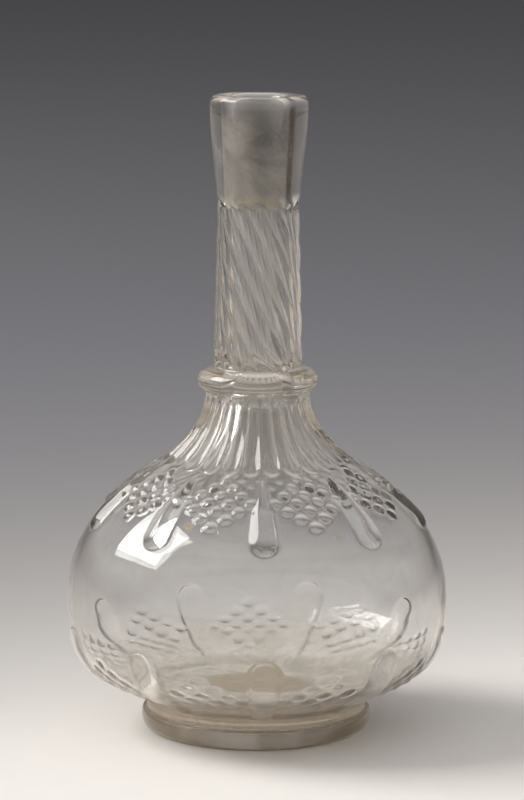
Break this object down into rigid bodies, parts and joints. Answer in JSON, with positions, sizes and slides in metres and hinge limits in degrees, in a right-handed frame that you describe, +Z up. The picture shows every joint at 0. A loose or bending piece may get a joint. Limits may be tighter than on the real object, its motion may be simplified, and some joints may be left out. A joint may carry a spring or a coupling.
{
  "type": "glass carafe",
  "caption": "Hollow clear glass carafe: round belly on a foot ring, moulded lobes and beaded lozenges, fluted shoulder, collar, neck with wound ribs and a plain wider mouth.",
  "frame": {"origin": "middle of the foot ring's flat underside, on the carafe's axis", "axes": "+Z up along the axis from the foot to the mouth; -Y is the side that faces the picture's camera"},
  "size_m": [0.1556, 0.1559, 0.26],
  "materials": {
    "glass": "clear fire-polished glass with a faint warm grey cast, small bubbles, and a thin brown and cloudy residue on the inside of the mouth and on the floor"
  },
  "bodies": {
    "root": {"carafe": "glass"}
  },
  "joints": []
}
